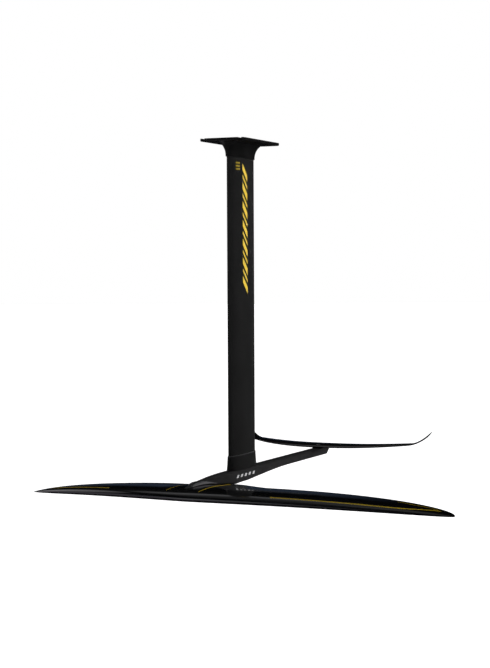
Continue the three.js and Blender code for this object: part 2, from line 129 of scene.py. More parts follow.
def smooth(t):
    """Eases from 0 to 1 with level ends."""
    return t * t * (3 - 2 * t)


# ---------------------------------------------------------------- meshes

MERGE_DISTANCE = 1e-6


def new_object(name, verts, faces, materials, sharp=30.0):
    """A mesh object from millimetre points, shaded smooth except across edges sharper than `sharp`."""
    mesh = bpy.data.meshes.new(name)
    mesh.from_pydata([[c * MM for c in v] for v in verts], [], faces)
    obj = bpy.data.objects.new(name, mesh)
    bpy.context.scene.collection.objects.link(obj)
    for mat in materials:
        mesh.materials.append(mat)
    tidy_mesh(obj, sharp)
    return obj


def tidy_mesh(obj, sharp=30.0):
    """Faces point outwards, and shading is smooth except across sharp edges."""
    bm = bmesh.new()
    bm.from_mesh(obj.data)
    bmesh.ops.remove_doubles(bm, verts=bm.verts, dist=MERGE_DISTANCE)
    bmesh.ops.recalc_face_normals(bm, faces=bm.faces)
    bm.to_mesh(obj.data)
    bm.free()
    for polygon in obj.data.polygons:
        polygon.use_smooth = True
    obj.data.set_sharp_from_angle(angle=math.radians(sharp))


def loft_data(rings, closed=False):
    """Points and faces of a skin over rings of equal counts, capped unless the rings run in a circle."""
    count = len(rings[0])
    verts = [p for ring in rings for p in ring]
    faces = []
    last = len(rings) if closed else len(rings) - 1
    for r in range(last):
        a, b = r * count, (r + 1) % len(rings) * count
        for i in range(count):
            j = (i + 1) % count
            faces.append((a + i, a + j, b + j, b + i))
    if not closed:
        faces.append(tuple(reversed(range(count))))
        faces.append(tuple(range(len(verts) - count, len(verts))))
    return verts, faces


def apply_boolean(obj, tools, operation="DIFFERENCE"):
    """Joins or cuts obj with helper objects, which are then deleted."""
    for tool in tools:
        modifier = obj.modifiers.new("cut", "BOOLEAN")
        modifier.operation = operation
        modifier.solver = "EXACT"
        modifier.object = tool
    deps = bpy.context.evaluated_depsgraph_get()
    mesh = bpy.data.meshes.new_from_object(obj.evaluated_get(deps))
    obj.modifiers.clear()
    obj.data = mesh
    for tool in tools:
        bpy.data.objects.remove(tool)
    return obj


def helper(rings):
    """A closed solid that only joins or cuts."""
    verts, faces = loft_data(rings)
    return new_object("helper", verts, faces, [])


def circle(radius, z, y=0.0, segments=48, turn=0.0):
    """A level ring round (0, y)."""
    step = 2 * math.pi / segments
    return [
        (radius * math.cos(turn + i * step), y + radius * math.sin(turn + i * step), z)
        for i in range(segments)
    ]


def turned(profile, y, segments=48, turn=0.0):
    """A turned helper from (radius, z) pairs, standing at (0, y)."""
    return helper([circle(r, z, y, segments, turn) for r, z in profile])


def rod(radius, low, high, y):
    return turned([(radius, low), (radius, high)], y)


# ---------------------------------------------------------------- foil sections


# The root of a wing is lofted in close sections, and the last section stands just short of the tip.
ROOT_ZONE, ROOT_SECTIONS, TIP_STOP, NEAR_TIP = 100, 20, 0.972, 0.999


def half_thickness(s, ratio):
    """The usual four-digit aerofoil law at s of the chord, with a closed trailing edge."""
    root = 0.2969 * math.sqrt(s)
    return 5 * ratio * (root - s * (0.126 + s * (0.3516 - s * (0.2843 - 0.1036 * s))))


def station(wing, e):
    """Chord, leading edge, height and slope of a wing's section at e of its half span."""
    tip = max(0.0, (e - wing["tip_start"]) / ((1 - wing["tip_start"]) or 1))
    return dict(
        chord=wing["chord"] * (1 - e ** wing["chord_power"]) ** wing["taper_power"],
        y=wing["leading_edge"] + wing["sweep"] * e ** wing["sweep_power"],
        z=wing["height"] - wing["droop"] * e ** wing["droop_power"] + wing["tip_rise"] * tip * tip,
        slope=math.tan(math.radians(wing["incidence"] - wing["twist"] * e * e)),
        saddle=wing["saddle"] * (1 - smooth(clamp((e * wing["half_span"] - SADDLE_FLAT) / SADDLE_FADE))),
    )


def surface_height(wing, at, s, side):
    """Height of the upper (side 1) or lower (side -1) surface at s of the chord of section `at`."""
    half = at["chord"] * half_thickness(s, wing["thickness"]) + wing["edge"] * s / 2
    middle = at["chord"] * (4 * wing["camber"] * s * (1 - s) - s * at["slope"])
    seat = at["saddle"] * smooth(clamp((s - SADDLE_START) / SADDLE_RUN)) if side > 0 else 0
    return at["z"] + middle + side * half + seat


def wing_point(wing, x, back, side, lift=0.0):
    """A point `back` mm behind the leading edge at x, `lift` mm off the surface."""
    at = station(wing, min(NEAR_TIP, abs(x) / wing["half_span"]))
    s = clamp(back / at["chord"])
    return (x, at["y"] + s * at["chord"], surface_height(wing, at, s, side) + side * lift)


def centre_height(wing, y, side):
    """Height of a wing's surface on the centre line."""
    at = station(wing, 0)
    return surface_height(wing, at, clamp((y - at["y"]) / at["chord"]), side)


def wing_stations(wing, count):
    """Places of the sections in half spans from tip to tip, closer together towards the tips."""
    root = ROOT_ZONE / wing["half_span"]
    half = [root * i / ROOT_SECTIONS for i in range(1, ROOT_SECTIONS)]
    outer = [math.sin(k / count * math.pi / 2 * TIP_STOP) for k in range(1, count + 1)]
    half += [e for e in outer if e >= root]
    return [-e for e in reversed(half)] + [0] + half


def wing_rings(wing, count, points):
    """Sections of a wing from tip to tip, each running from its trailing edge round its nose."""
    rings = []
    for place in wing_stations(wing, count):
        at = station(wing, abs(place))
        x = place * wing["half_span"]
        ring = []
        for i in range(-points, points + 1):
            s = 0.5 - 0.5 * math.cos(math.pi * abs(i) / points)
            z = surface_height(wing, at, s, 1 if i < 0 else -1)
            ring.append((x, at["y"] + s * at["chord"], z))
        rings.append(ring)
    return rings


def mast_half(y):
    """Half width of the mast's section, fullest ahead of its middle."""
    s = clamp(y / MAST_CHORD + 0.5)
    fullest = MAST_NOSE_POWER / (MAST_NOSE_POWER + MAST_TAIL_POWER)
    return MAST_THICKNESS / 2 * fullness(s) / fullness(fullest)


def fullness(s):
    return s**MAST_NOSE_POWER * (1 - s) ** MAST_TAIL_POWER


def mast_ring(z, proud, longer=None, points=44):
    """Outline of the mast's section at height z, enlarged by proud in X and longer in Y."""
    longer = proud if longer is None else longer
    ring = []
    for i in range(-points, points):
        turn = math.pi * i / points
        y = -MAST_CHORD / 2 * math.cos(turn)
        x = math.copysign(mast_half(y), i) + math.sin(turn) * proud
        ring.append((x, y - math.cos(turn) * longer, z))
    return ring


# ---------------------------------------------------------------- fuselage lines


def crown_height(y):
    """Height of the fuselage's top, which curves down to the nose."""
    fall = 1 - clamp((y - NOSE_TIP) / NOSE_LENGTH)
    return FUSELAGE_TOP - NOSE_DROP * fall**NOSE_DROP_POWER - NOSE_TILT * fall


def belly_height(y):
    """Height of the fuselage's underside: on the wing's seat, then rising slowly to the tail."""
    trailing = WING["leading_edge"] + WING["chord"]
    seat = centre_height(WING, y, 1) + GAP
    if y < trailing:
        return seat
    t = clamp(y / BOOM_TAPER)
    ease = BOOM_EASE * smooth(t) + (1 - BOOM_EASE) * t * (2 - t)
    under = lerp(BELLY, FUSELAGE_TOP - BOOM_DEPTH, ease)
    return lerp(seat, under, smooth(clamp((y - trailing) / BELLY_BLEND)))


def fuselage_half(y):
    """Half width of the fuselage, which narrows to a rounded point at the nose."""
    nose = clamp((y - NOSE_TIP) / NOSE_LENGTH, NOSE_MINIMUM)
    return FUSELAGE_HALF_WIDTH * (1 - (1 - nose) ** NOSE_WIDTH_POWER) ** NOSE_BLUNTNESS


def nose_highlight_height(y):
    """Height of the band along the nose's lower edge that carries a painted highlight: tall near the tip,
    then tapering back.
    """
    rise = clamp((y - FACET_START) / FACET_RISE)
    fall = clamp((FACET_END - y) / FACET_FALL)
    return FACET_HEIGHT * smooth(rise) * fall**FACET_FADE_POWER


def fuselage_ring(y, arc=5):
    """Section of the fuselage: a crisp bevel along each upper edge and a round along each lower one."""
    half, top, bottom = fuselage_half(y), crown_height(y), belly_height(y)
    depth = top - bottom
    bevel = min(FUSELAGE_BEVEL, depth * 0.25, half * 0.4)
    around = min(FUSELAGE_ROUND, depth * 0.2, half * 0.4)
    ease = 0.18 * bevel
    # The side gets a vertex at the top of the band of the nose's painted highlight.
    highlight_top = max(bottom + nose_highlight_height(y), bottom + around + 0.2)
    side = [
        (half - bevel - ease, top), (half - bevel + ease, top - ease * 0.8),
        (half - ease * 0.8, top - bevel + ease), (half, top - bevel - ease),
        (half, highlight_top),
    ]
    for i in range(arc + 1):
        turn = i / arc * math.pi / 2
        side.append((
            half - around * (1 - math.cos(turn)),
            bottom + around * (1 - math.sin(turn)),
        ))
    mirror = [(-x, z) for x, z in reversed(side)]
    return [(x, y, z) for x, z in side + mirror]


SEAT_HEIGHT = FUSELAGE_TOP - TAIL_SEAT


def wing_head_height(y):
    """Height of the face of a wing screw's head, sunk into the wing's underside."""
    return centre_height(WING, y, -1) + RECESS + WING_HEAD_SUNK


def tail_head_height(y):
    """Height of the face of a stabiliser screw's head, sunk into the stabiliser's top."""
    return centre_height(STABILIZER, y, 1) - RECESS


def wing_insert_top(y):
    """Height of the top of a wing insert, which stays under the fuselage's top near the nose."""
    return min(belly_height(y) + INSERT_SUNK + INSERT_DEPTH, crown_height(y) - INSERT_ROOF)


# ---------------------------------------------------------------- materials


class Maker:
    """Builds one procedural material around a Principled shader."""

    def __init__(self, name):
        self.material = bpy.data.materials.new(name)
        self.material.use_nodes = True
        self.tree = self.material.node_tree
        self.shader = self.tree.nodes["Principled BSDF"]
        self.place = self.tree.nodes.new("ShaderNodeTexCoord").outputs["Object"]

    def set(self, **values):
        for name, value in values.items():
            self.shader.inputs[name.replace("_", " ")].default_value = value
        return self

    def node(self, kind, inputs=(), **settings):
        """A node with its settings and with values or links on its inputs."""
        made = self.tree.nodes.new("ShaderNode" + kind)
        for name, value in settings.items():
            setattr(made, name, value)
        for name, value in dict(inputs).items():
            self.feed(made.inputs[name], value)
        return made

    def feed(self, socket, value):
        """Links a node's output to the socket, or sets a plain value on it."""
        if isinstance(value, bpy.types.NodeSocket):
            self.tree.links.new(value, socket)
        else:
            socket.default_value = value

    def stretched(self, x, y, z):
        return self.node("Mapping", {"Vector": self.place, "Scale": (x, y, z)}).outputs["Vector"]

    def noise(self, scale, detail=2.0, vector=None, roughness=0.5):
        made = self.node("TexNoise", {
            "Vector": self.place if vector is None else vector,
            "Scale": scale, "Detail": detail, "Roughness": roughness,
        })
        return made.outputs["Fac"]

    def math(self, operation, a, b=None):
        inputs = {0: a} if b is None else {0: a, 1: b}
        return self.node("Math", inputs, operation=operation).outputs[0]

    def spread(self, value, low, high, out_low=0.0, out_high=1.0):
        made = self.node("MapRange", {
            "Value": value, "From Min": low, "From Max": high,
            "To Min": out_low, "To Max": out_high,
        })
        return made.outputs["Result"]

    def ramp(self, value, *stops):
        """Colour from (position, colour) stops."""
        made = self.node("ValToRGB", {"Fac": value})
        elements = made.color_ramp.elements
        while len(elements) < len(stops):
            elements.new(0.5)
        for element, (position, colour) in zip(elements, stops):
            element.position = position
            element.color = (*colour, 1)
        return made.outputs["Color"]

    def mix(self, factor, a, b):
        """Mixes two colour outputs. Sockets 0, 6 and 7 are the factor and the two colours."""
        inputs = {0: factor, 6: a, 7: b}
        return self.node("Mix", inputs, data_type="RGBA").outputs[2]

    def bump(self, height, strength, distance, normal=None):
        inputs = {"Height": height, "Strength": strength, "Distance": distance}
        if normal is not None:
            inputs["Normal"] = normal
        return self.node("Bump", inputs).outputs["Normal"]

    def wire(self, name, value):
        self.tree.links.new(value, self.shader.inputs[name])
        return self


TOWS_PER_METRE = 420.0


def carbon_gloss():
    """2x2 twill carbon seen faintly through a dark, polished clear coat: the twill is a real pattern, and the
    lighter crown of each tow is a painted sheen.
    """
    m = Maker("carbon_gloss")
    split = m.node("SeparateXYZ", {"Vector": m.place})
    u = m.math("MULTIPLY", split.outputs["X"], TOWS_PER_METRE)
    v = m.math("MULTIPLY", split.outputs["Y"], TOWS_PER_METRE)
    cell = m.math("ADD", m.math("FLOOR", u), m.math("FLOOR", v))
    over = m.math("LESS_THAN", m.math("FLOORED_MODULO", cell, 4.0), 1.9)
    along_x, along_y = (m.node("CombineColor", {"Red": tow}).outputs[0] for tow in (u, v))
    across = m.mix(over, along_x, along_y)
    lane = m.node("SeparateColor", {"Color": across}).outputs["Red"]
    # Painted sheen: each tow is lighter along its crown, where light would catch it.
    tow_sheen = m.math("SINE", m.math("MULTIPLY", m.math("FRACT", lane), math.pi))
    cloud = m.noise(14.0, 3.0)
    deep = m.ramp(cloud, (0.3, (0.0008, 0.0009, 0.0013)), (0.7, (0.0012, 0.0014, 0.0020)))
    lit = m.ramp(cloud, (0.3, (0.0013, 0.0015, 0.0021)), (0.7, (0.0020, 0.0023, 0.0032)))
    weave_and_sheen = m.math("MULTIPLY", tow_sheen, m.spread(over, 0.0, 1.0, 0.35, 1.0))
    m.wire("Base Color", m.mix(weave_and_sheen, deep, lit))
    m.wire("Roughness", m.spread(weave_and_sheen, 0.0, 1.0, 0.50, 0.42))
    polish = m.noise(90.0, 2.0)
    m.wire("Coat Roughness", m.spread(polish, 0.3, 0.7, 0.080, 0.110))
    m.wire("Coat Normal", m.bump(m.noise(60.0, 1.0), 0.02, 0.0004))
    m.set(Coat_Weight=1.0, Coat_IOR=1.5, Specular_IOR_Level=0.08)
    return m.material


def anodised(name, dark, light, roughness, streaks=(700.0, 700.0, 3.0)):
    """Dyed anodised aluminium with long drawing marks from the die and a fine etched grain."""
    m = Maker(name)
    drawn = m.noise(1.0, 4.0, m.stretched(*streaks), 0.6)
    cloud = m.noise(9.0, 3.0)
    tone = m.math("ADD", m.math("MULTIPLY", drawn, 0.65), m.math("MULTIPLY", cloud, 0.35))
    m.wire("Base Color", m.ramp(tone, (0.35, dark), (0.65, light)))
    grain = m.noise(2600.0, 2.0)
    m.wire("Roughness", m.spread(m.math("ADD", grain, drawn), 0.6, 1.4, roughness - 0.06, roughness + 0.07))
    fine = m.bump(grain, 0.12, 0.0001)
    m.wire("Normal", m.bump(drawn, 0.1, 0.0001, fine))
    m.set(Metallic=0.25, Specular_IOR_Level=0.45)
    return m.material


def satin_black(name, dark, light, roughness):
    """Moulded or hard-coated satin black with a fine pebble grain."""
    m = Maker(name)
    pebble = m.node("TexVoronoi", {"Vector": m.place, "Scale": 1500.0}).outputs["Distance"]
    cloud = m.noise(30.0, 4.0)
    m.wire("Base Color", m.ramp(cloud, (0.35, dark), (0.65, light)))
    m.wire("Roughness", m.spread(cloud, 0.3, 0.7, roughness - 0.05, roughness + 0.06))
    m.wire("Normal", m.bump(pebble, 0.16, 0.00015))
    m.set(Specular_IOR_Level=0.3)
    return m.material


def rim_painted_highlight():
    """Painted highlight on the collar's bevelled top: a lighter grey with turning marks stands in for light
    caught along the bevel.
    """
    m = Maker("collar_rim_painted_highlight")
    turning = m.noise(1.0, 2.0, m.stretched(60.0, 60.0, 4000.0))
    m.wire("Base Color", m.ramp(turning, (0.3, (0.080, 0.080, 0.083)), (0.7, (0.140, 0.140, 0.146))))
    m.wire("Roughness", m.spread(turning, 0.3, 0.7, 0.3, 0.42))
    m.wire("Normal", m.bump(turning, 0.1, 0.0001))
    m.set(Metallic=0.6)
    return m.material


def stainless():
    """Turned stainless steel: rings from the lathe and a few brighter and duller patches."""
    m = Maker("stainless")
    rings = m.noise(1.0, 2.0, m.stretched(900.0, 900.0, 2500.0))
    patch = m.noise(120.0, 2.0)
    m.wire("Base Color", m.ramp(patch, (0.3, (0.42, 0.42, 0.43)), (0.7, (0.62, 0.62, 0.62))))
    m.wire("Roughness", m.spread(rings, 0.3, 0.7, 0.22, 0.38))
    m.wire("Normal", m.bump(rings, 0.12, 0.0001))
    m.set(Metallic=1.0)
    return m.material


def insert_aluminium():
    """Sawn and milled aluminium of the blocks inside the mast."""
    m = Maker("insert_aluminium")
    cuts = m.noise(1.0, 3.0, m.stretched(80.0, 80.0, 2200.0))
    m.wire("Base Color", m.ramp(cuts, (0.3, (0.50, 0.51, 0.52)), (0.7, (0.66, 0.67, 0.68))))
    m.wire("Roughness", m.spread(cuts, 0.3, 0.7, 0.34, 0.5))
    m.wire("Normal", m.bump(cuts, 0.2, 0.0002))
    m.set(Metallic=1.0)
    return m.material


def ink(name, thin, full, roughness=0.42):
    """Printed or laid colour with slightly uneven cover."""
    m = Maker(name)
    cover = m.noise(340.0, 4.0, None, 0.6)
    m.wire("Base Color", m.ramp(cover, (0.28, thin), (0.6, full)))
    m.wire("Roughness", m.spread(cover, 0.3, 0.7, roughness - 0.05, roughness + 0.08))
    m.wire("Normal", m.bump(m.noise(900.0, 2.0), 0.08, 0.0001))
    return m.material


CARBON = carbon_gloss()
MAST_METAL = anodised("mast_anodised", (0.0116, 0.0116, 0.0118), (0.0203, 0.0203, 0.0207), 0.46)
COLLAR_METAL = anodised("collar_coat", (0.0120, 0.0120, 0.0123), (0.0190, 0.0190, 0.0193), 0.42)
# Painted highlight along the collar's bevelled top rim.
RIM_PAINTED_HIGHLIGHT = rim_painted_highlight()
PLATE_COAT = satin_black("plate_coat", (0.0046, 0.0046, 0.0048), (0.0086, 0.0086, 0.0088), 0.40)
FUSELAGE_COAT = satin_black("fuselage_coat", (0.0180, 0.0177, 0.0184), (0.0258, 0.0254, 0.0264), 0.44)
# Painted highlight: a light grey along the nose's lower edge stands in for light caught there.
NOSE_PAINTED_HIGHLIGHT = anodised("nose_painted_highlight", (0.190, 0.187, 0.195), (0.270, 0.266, 0.278), 0.40, (60.0, 8.0, 900.0))
STEEL = stainless()
ALUMINIUM = insert_aluminium()
YELLOW = ink("yellow_vinyl", (0.56, 0.37, 0.030), (0.74, 0.52, 0.048))
GOLD = ink("gold_line", (0.50, 0.34, 0.006), (0.72, 0.50, 0.010), 0.50)
DIM_GOLD = ink("gold_tile", (0.20, 0.14, 0.008), (0.32, 0.23, 0.014), 0.50)
WHITE = ink("white_print", (0.40, 0.40, 0.41), (0.54, 0.54, 0.55))

# ---------------------------------------------------------------- pieces


def keep(obj, slot, *nodes):
    """obj is a finished piece of the object that stands for the given CAD nodes."""
    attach(obj, "root")
    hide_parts(*nodes)
    return obj


def screw_hole(y, head, length, direction):
    """Clearance hole of a countersunk screw, open beyond its head."""
    shank, wide = SCREW_RADIUS + GAP, HEAD_RADIUS + GAP
    pairs = [
        (shank, -length - BEYOND), (shank, -HEAD_HEIGHT - GAP),
        (wide, -HEAD_RIM - GAP), (wide, HOLE_MOUTH),
    ]
    return turned([(r, head + direction * z) for r, z in pairs], y)


def front_wing():
    """The large wing, bored from below for its screws."""
    verts, faces = loft_data(wing_rings(WING, count=72, points=34))
    wing = new_object("wing_blade", verts, faces, [CARBON])
    apply_boolean(wing, [screw_hole(y, wing_head_height(y), THROUGH, -1) for y in WING_SCREWS_Y])
    tidy_mesh(wing)
    return keep(wing, "foil", "front_wing")


def rear_stabilizer():
    """The small wing, with a pad under its middle that stands on the tail's flat."""
    verts, faces = loft_data(wing_rings(STABILIZER, count=64, points=26))
    blade = new_object("stabilizer_blade", verts, faces, [CARBON])
    front, rear = STABILIZER["leading_edge"] + PAD_FRONT, TAIL_END - PAD_REAR
    half = FUSELAGE_HALF_WIDTH - PAD_INSET
    low = SEAT_HEIGHT + GAP
    pad = helper([rounded_box(half, front, rear, PAD_CORNER, z) for z in (low, low + PAD_HEIGHT)])
    apply_boolean(blade, [pad], "UNION")
    below = helper([
        rounded_box(CUTTER_HALF, front - 20, rear + THROUGH, 1, z) for z in (low - 10, low)
    ])
    holes = [screw_hole(y, tail_head_height(y), THROUGH, 1) for y in TAIL_SCREWS_Y]
    apply_boolean(blade, [below, *holes])
    tidy_mesh(blade)
    return keep(blade, "foil", "rear_stabilizer")


def rounded_box(half, front, rear, radius, z, steps=6):
    """A rounded rectangle at height z."""
    ring = []
    corners = [(half, rear, 0), (-half, rear, 1), (-half, front, 2), (half, front, 3)]
    for x, y, quarter in corners:
        cx, cy = x - math.copysign(radius, x), y - radius if quarter < 2 else y + radius
        for i in range(steps + 1):
            turn = (quarter + i / steps) * math.pi / 2
            ring.append((cx + radius * math.cos(turn), cy + radius * math.sin(turn), z))
    return ring


def slot_ring(x, low, high, radius, z, steps=14):
    """Outline of a slot between two round ends at low and high."""
    ring = []
    for centre, start in ((high, 0), (low, math.pi)):
        for i in range(steps + 1):
            turn = start + i / steps * math.pi
            ring.append((x + radius * math.cos(turn), centre + radius * math.sin(turn), z))
    return ring


def plate_slot(x, end):
    """Cutter for one slot, with a small bevel at both faces."""
    y = end * SLOT_Y
    inner = y - end * (SLOT_HALF_LENGTH - SLOT_HALF_WIDTH)
    outer = PLATE_FRONT - SLOT_RUN_OUT if end < 0 else y + SLOT_HALF_LENGTH - SLOT_HALF_WIDTH
    low, high = sorted((inner, outer))
    past, hair = 3, 0.001
    levels = [
        (-PLATE_THICKNESS - past, SLOT_BEVEL + past), (-PLATE_THICKNESS - hair, SLOT_BEVEL),
        (-PLATE_THICKNESS + SLOT_BEVEL, 0), (-SLOT_BEVEL, 0),
        (hair, SLOT_BEVEL), (past, SLOT_BEVEL + past),
    ]
    return helper([slot_ring(x, low, high, SLOT_HALF_WIDTH + more, z) for z, more in levels])


def plate_ring(inset, z):
    """Outline of the plate at height z, drawn in by inset."""
    ring = []
    x, front, rear = PLATE_HALF_WIDTH - inset, PLATE_FRONT + inset, PLATE_REAR - inset
    radius, steps = PLATE_CORNER - inset, 12
    for cx, cy, quarter in (
        (x - radius, rear - radius, 0), (radius - x, rear - radius, 1),
        (radius - x, front + radius, 2), (x - radius, front + radius, 3),
    ):
        for i in range(steps + 1):
            turn = (quarter + i / steps) * math.pi / 2
            ring.append((cx + radius * math.cos(turn), cy + radius * math.sin(turn), z))
    return ring


def eased_profile(low, high, low_bevel, high_bevel, steps=5):
    """(inset, z) pairs of a slab's edge with a round at each face."""
    pairs = []
    for i in range(steps + 1):
        turn = i / steps * math.pi / 2
        pairs.append((low_bevel * (1 - math.sin(turn)), low + low_bevel * (1 - math.cos(turn))))
    for i in range(steps + 1):
        turn = i / steps * math.pi / 2
        pairs.append((high_bevel * (1 - math.cos(turn)), high - high_bevel * (1 - math.sin(turn))))
    return pairs


def neck_rings(steps):
    """The neck under the plate: a bevelled foot, then a flare that ends inside the plate."""
    rim = NECK_RIM_BEVEL
    rings = [mast_ring(NECK_BOTTOM, NECK_WALL - rim, NECK_END_WALL - rim)]
    for i in range(steps + 1):
        flare = (i / steps) ** NECK_FLARE_POWER
        z = lerp(NECK_BOTTOM + (rim if i == 0 else 0), -NECK_SUNK, i / steps)
        rings.append(mast_ring(z, NECK_WALL + NECK_FLARE_X * flare, NECK_END_WALL + NECK_FLARE_Y * flare))
    return rings


def mast_plate():
    """The slotted board plate with its flared neck and the socket for the mast's head."""
    edge = eased_profile(-PLATE_THICKNESS, 0, PLATE_EDGE_BEVEL, PLATE_RIM_BEVEL)
    verts, faces = loft_data([plate_ring(inset, z) for inset, z in edge])
    plate = new_object("board_plate", verts, faces, [PLATE_COAT])
    apply_boolean(plate, [helper(neck_rings(steps=26))], "UNION")
    socket = helper([mast_ring(z, GAP) for z in (NECK_BOTTOM - BEYOND, MAST_TOP + GAP)])
    slots = [plate_slot(side * SLOT_X, end) for side in (-1, 1) for end in (-1, 1)]
    holes = [screw_hole(y, -RECESS, 20, 1) for y in PLATE_SCREWS_Y]
    apply_boolean(plate, [socket, *slots, *holes])
    tidy_mesh(plate, 28)
    return keep(plate, "plate", "mast_plate")


def cell_ring(front, rear, z, steps=16):
    """Outline of one of the mast's cells."""
    side = [lerp(front, rear, i / steps) for i in range(steps + 1)]
    walls = [(max(MAST_CELL_MINIMUM, mast_half(y) - MAST_WALL), y) for y in side]
    return [(x, y, z) for x, y in walls] + [(-x, y, z) for x, y in reversed(walls)]


def mast():
    """The extruded mast with its three cells."""
    low, high = FUSELAGE_TOP + GAP, MAST_TOP
    steps = 24
    verts, faces = loft_data([mast_ring(lerp(low, high, i / steps), 0) for i in range(steps + 1)])
    tube = new_object("mast_section", verts, faces, [MAST_METAL])
    ends = (low - BEYOND, high + BEYOND)
    cells = [helper([cell_ring(*cell, z) for z in ends]) for cell in MAST_CELLS]
    apply_boolean(tube, cells)
    tidy_mesh(tube, 40)
    return keep(tube, "mast", "mast_tube")


def collar():
    """The sleeve over the mast's foot, fuller downwards, with a painted highlight on its bevelled top rim."""
    low, top = FUSELAGE_TOP + GAP, COLLAR_TOP - COLLAR_BEVEL
    steps = 10
    rings = []
    for i in range(steps + 1):
        t = 1 - i / steps
        proud = lerp(COLLAR_TOP_PROUD, COLLAR_FOOT_PROUD, t**COLLAR_FLARE_POWER)
        rings.append(mast_ring(lerp(top, low, t), proud))
    rings.append(mast_ring(COLLAR_TOP - COLLAR_BEVEL * 0.45, COLLAR_TOP_PROUD - COLLAR_BEVEL * 0.12))
    rings.append(mast_ring(COLLAR_TOP, COLLAR_TOP_PROUD - COLLAR_BEVEL / 2))
    rings.append(mast_ring(COLLAR_TOP, GAP))
    rings.append(mast_ring(low, GAP))
    verts, faces = loft_data(rings, closed=True)
    sleeve = new_object("mast_sleeve", verts, faces, [COLLAR_METAL, RIM_PAINTED_HIGHLIGHT])
    # The faces of the bevelled top carry the rim's painted highlight.
    for polygon in sleeve.data.polygons:
        if polygon.center.z > (top + 0.01) * MM:
            polygon.material_index = 1
    return keep(sleeve, "collar", "mast_collar")


def paint_nose_highlight(boom):
    """Paints a highlight on the band of faces along the nose's lower edge: a light material stands in for
    light caught there.
    """
    for polygon in boom.data.polygons:
        x, y, z = (c / MM for c in polygon.center)
        up, tall = z - belly_height(y), nose_highlight_height(y)
        on_side = abs(x) > 1 and abs(polygon.normal.x) > 0.2
        if on_side and tall > 1 and FACET_FOOT < up < tall:
            polygon.material_index = 1


def tail_wedge():
    """Cutter for the slanted end of the tail."""
    back, down = 20, -40
    profile = [
        (-TAIL_BEVEL, down), (-TAIL_BEVEL, -TAIL_BEVEL_FOOT), (0, -TAIL_LIP),
        (back, -TAIL_LIP), (back, down),
    ]
    corner = [(TAIL_END + y, FUSELAGE_TOP + z) for y, z in profile]
    return helper([[(x, y, z) for y, z in corner] for x in (-CUTTER_HALF, CUTTER_HALF)])


def tail_seat():
    """Cutter for the shallow flat that the stabiliser sits on."""
    front = STABILIZER["leading_edge"] - SEAT_MARGIN
    rear = front + SEAT_RUN
    return helper([rounded_box(CUTTER_HALF, front, rear, 1, SEAT_HEIGHT + z) for z in (0, 20)])


def insert_bores():
    """Cutters for the bores of the threaded inserts, open below the wing's and above the tail's."""
    radius = INSERT_RADIUS + GAP
    tail_floor = SEAT_HEIGHT - INSERT_SUNK - INSERT_DEPTH - BORE_END
    bores = [rod(radius, BELLY - THROUGH, wing_insert_top(y) + BORE_END, y) for y in WING_SCREWS_Y]
    bores += [rod(radius, tail_floor, FUSELAGE_TOP + THROUGH, y) for y in TAIL_SCREWS_Y]
    return bores


def fuselage():
    """The boom, with its seat, bores and slanted tail cut, and a painted highlight along the nose's lower
    edge.
    """
    steps = 150
    start = NOSE_TIP + NOSE_START
    verts, faces = loft_data([fuselage_ring(lerp(start, TAIL_END, i / steps)) for i in range(steps + 1)])
    boom = new_object("fuselage_boom", verts, faces, [FUSELAGE_COAT, NOSE_PAINTED_HIGHLIGHT])
    mast_holes = [screw_hole(y, belly_height(y) + RECESS, THROUGH, -1) for y in FOOT_SCREWS_Y]
    apply_boolean(boom, [tail_wedge(), tail_seat(), *insert_bores(), *mast_holes])
    tidy_mesh(boom, 24)
    paint_nose_highlight(boom)
    return keep(boom, "fuselage", "fuselage")


def screw(name, node, y, head, length, direction):
    """Countersunk screw with a rolled head edge and a hexagon socket with a drilled floor."""
    r, h = SCREW_RADIUS, HEAD_RADIUS
    profile = [
        (r - 0.9, -length), (r - 0.15, 0.8 - length), (r, 1.4 - length), (r, -HEAD_HEIGHT - 0.2),
        (r + 0.15, -HEAD_HEIGHT + 0.1), (h - 0.15, -0.6), (h, -0.4), (h - 0.1, -0.15), (h - 0.4, 0),
    ]
    body = turned([(a, head + direction * z) for a, z in profile], y, 56)
    socket = [(1.2, -3.0), (2.0, -2.4), (2.3, -2.4), (2.3, -0.3), (2.7, 0.1), (2.7, 1)]
    apply_boolean(body, [turned([(a, head + direction * z) for a, z in socket], y, 6, math.pi / 6)])
    body.name = name
    body.data.materials.append(STEEL)
    tidy_mesh(body, 25)
    return keep(body, "screw", node)


def screws():
    """Every screw of the assembly, each with its head where its hole is sunk."""
    for i, y in enumerate(PLATE_SCREWS_Y):
        screw(f"plate_bolt_{i + 1}", f"plate_screw_{i + 1}", y, -RECESS, MAST_SCREW_GRIP - MAST_TOP, 1)
    for i, y in enumerate(FOOT_SCREWS_Y):
        head = belly_height(y) + RECESS
        length = FUSELAGE_TOP - head + MAST_SCREW_GRIP
        screw(f"mast_bolt_{i + 1}", f"mast_screw_{i + 1}", y, head, length, -1)
    for i, y in enumerate(WING_SCREWS_Y):
        head = wing_head_height(y)
        screw(f"wing_bolt_{i + 1}", f"wing_screw_{i + 1}", y, head, wing_insert_top(y) - head, -1)
    for i, y in enumerate(TAIL_SCREWS_Y):
        head = tail_head_height(y)
        low = SEAT_HEIGHT - INSERT_SUNK - INSERT_DEPTH
        screw(f"tail_bolt_{i + 1}", f"stabilizer_screw_{i + 1}", y, head, head - low, 1)


def finish_inserts():
    """The hidden inserts keep their CAD shape and get a machined finish."""
    for name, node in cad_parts.items():
        if "insert" in name:
            node.data.materials.clear()
            node.data.materials.append(ALUMINIUM if name.startswith("mast_") else STEEL)


# ---------------------------------------------------------------- graphics

